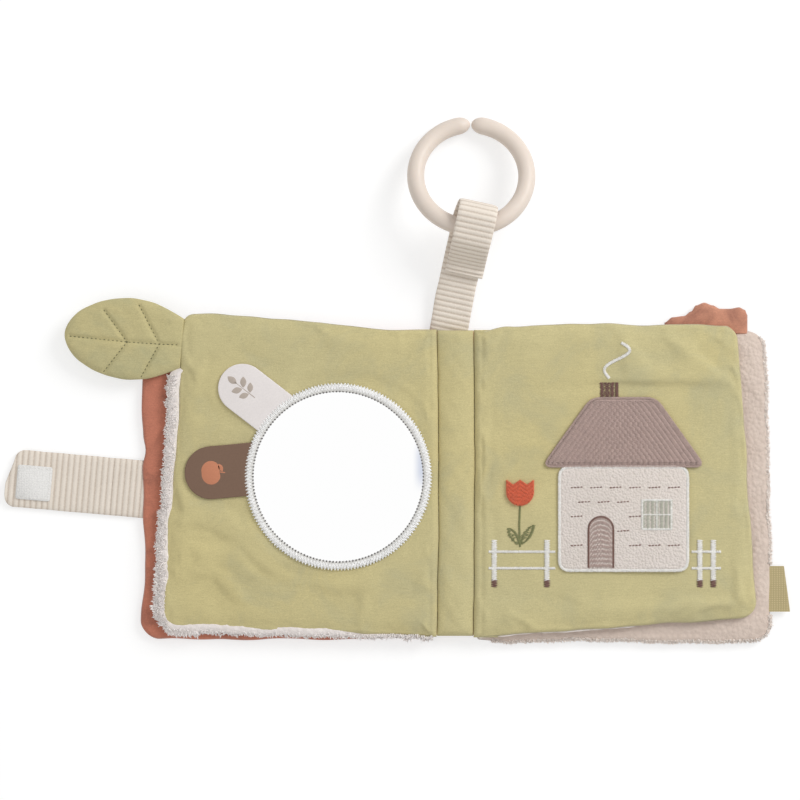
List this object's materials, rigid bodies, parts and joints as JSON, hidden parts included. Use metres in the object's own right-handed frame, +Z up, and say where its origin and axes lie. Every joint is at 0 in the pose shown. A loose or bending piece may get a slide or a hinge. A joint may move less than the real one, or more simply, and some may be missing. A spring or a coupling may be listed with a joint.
{
  "type": "crinkle cloth book",
  "caption": "Open padded cloth book with green velour pages, a stitched mirror with flaps, leaf tab, ribbed strap and a hanging ring.",
  "frame": {"origin": "middle of the spine's underside, on the surface that the book lies on", "axes": "+X across the open book to the right, +Y up the page towards the ring, +Z up out of the pages"},
  "size_m": [0.3806, 0.2535, 0.0297],
  "materials": {
    "green_velour": "short cotton velour, soft olive green",
    "leaf_velour": "short velour, leaf green",
    "terracotta_velour": "short velour, terracotta",
    "white_sherpa": "curly off-white sherpa fleece",
    "cream_plush": "cream-pink plush",
    "wadding": "white polyester wadding",
    "crinkle_film": "thin crinkling film",
    "mirror_film": "shatter-proof mirror film",
    "white_thread": "white satin stitch",
    "white_felt": "smooth off-white felted cloth",
    "brown_felt": "smooth dark brown felted cloth",
    "ribbed_weave": "cream ribbed weave",
    "hook_tape": "white hook-and-loop tape",
    "ring_plastic": "beige moulded plastic, satin",
    "label_weave": "olive woven ribbon",
    "mauve_thread": "mauve fill stitch",
    "orange_thread": "orange fill stitch"
  },
  "bodies": {
    "back_cover": {"back_cover_lining": "cream_plush", "back_cover_outside": "cream_plush", "back_cover_wadding": "wadding", "back_cover_crinkle_film": "crinkle_film", "loop_patch": "hook_tape"},
    "spine": {"spine_outer_strip": "terracotta_velour", "spine_inner_strip": "green_velour"},
    "front_cover": {"front_cover_lining": "terracotta_velour", "front_cover_outside": "terracotta_velour", "front_cover_wadding": "wadding", "front_cover_crinkle_film": "crinkle_film", "strap_root": "ribbed_weave"},
    "left_page": {"left_page_front": "green_velour", "left_page_back": "white_sherpa", "left_page_wadding": "wadding", "left_page_crinkle_film": "crinkle_film", "mirror_film": "mirror_film", "mirror_border": "white_thread"},
    "right_page": {"right_page_front": "green_velour", "right_page_back": "white_sherpa", "right_page_wadding": "wadding", "right_page_crinkle_film": "crinkle_film", "picture_wall": "cream_plush", "picture_roof": "mauve_thread", "picture_flower": "orange_thread"},
    "white_flap": {"white_flap": "white_felt"},
    "brown_flap": {"brown_flap": "brown_felt"},
    "leaf_tab": {"leaf_tab_front": "leaf_velour", "leaf_tab_back": "leaf_velour", "leaf_tab_wadding": "wadding"},
    "lobed_tab": {"lobed_tab": "terracotta_velour"},
    "side_label": {"side_label": "label_weave"},
    "strap_base": {"strap_base": "ribbed_weave"},
    "strap_tip": {"strap_tip": "ribbed_weave", "hook_patch": "hook_tape"},
    "hanging_ribbon": {"hanging_ribbon": "ribbed_weave"},
    "hanging_ring": {"hanging_ring": "ring_plastic"}
  },
  "joints": [
    {"name": "spine_fold", "type": "hinge", "parent": "back_cover", "child": "spine", "pos_m": [0.008, 0, 0.003], "axis": [0, 1, 0], "range_deg": [0, 90]},
    {"name": "front_cover_fold", "type": "hinge", "parent": "spine", "child": "front_cover", "pos_m": [-0.008, 0, 0.003], "axis": [0, 1, 0], "range_deg": [0, 90]},
    {"name": "left_page_turn", "type": "hinge", "parent": "front_cover", "child": "left_page", "pos_m": [-0.008, 0, 0.011], "axis": [0, 1, 0], "range_deg": [0, 180]},
    {"name": "right_page_turn", "type": "hinge", "parent": "back_cover", "child": "right_page", "pos_m": [0.008, 0, 0.011], "axis": [0, 1, 0], "range_deg": [-180, 0]},
    {"name": "white_flap_lift", "type": "hinge", "parent": "left_page", "child": "white_flap", "pos_m": [-0.09256, 0.03079, 0.0111], "axis": [0.6115, 0.7912, 0], "range_deg": [0, 120]},
    {"name": "brown_flap_lift", "type": "hinge", "parent": "left_page", "child": "brown_flap", "pos_m": [-0.10176, -0.00077, 0.0111], "axis": [-0.0906, 0.9959, 0], "range_deg": [0, 120]},
    {"name": "leaf_tab_bend", "type": "hinge", "parent": "left_page", "child": "leaf_tab", "pos_m": [-0.13324, 0.0678, 0.0072], "axis": [0.0872, 0.9962, 0], "range_deg": [0, 80]},
    {"name": "lobed_tab_bend", "type": "hinge", "parent": "back_cover", "child": "lobed_tab", "pos_m": [0.1005, 0.07414, 0.0024], "axis": [-1, 0, 0], "range_deg": [-50, 0]},
    {"name": "side_label_bend", "type": "hinge", "parent": "back_cover", "child": "side_label", "pos_m": [0.1534, -0.05155, 0.0024], "axis": [0, -1, 0], "range_deg": [0, 75]},
    {"name": "strap_fold", "type": "hinge", "parent": "front_cover", "child": "strap_base", "pos_m": [-0.156, -0.0028, 0.0014], "axis": [0.0872, 0.9962, 0], "range_deg": [0, 90]},
    {"name": "strap_tip_fold", "type": "hinge", "parent": "strap_base", "child": "strap_tip", "pos_m": [-0.17871, -0.00081, 0.0014], "axis": [0.0872, 0.9962, 0], "range_deg": [0, 90]},
    {"name": "ribbon_lift", "type": "hinge", "parent": "spine", "child": "hanging_ribbon", "pos_m": [-0.0029, 0.07657, 0.003], "axis": [-0.977, 0.213, 0], "range_deg": [-60, 0]},
    {"name": "ring_swing", "type": "hinge", "parent": "hanging_ribbon", "child": "hanging_ring", "pos_m": [0.00726, 0.12318, 0.02082], "axis": [-1, 0, 0], "range_deg": [-85, 0]}
  ],
  "couplings": [
    {"joint": "front_cover_fold", "follows": "spine_fold", "ratio": 1}
  ]
}
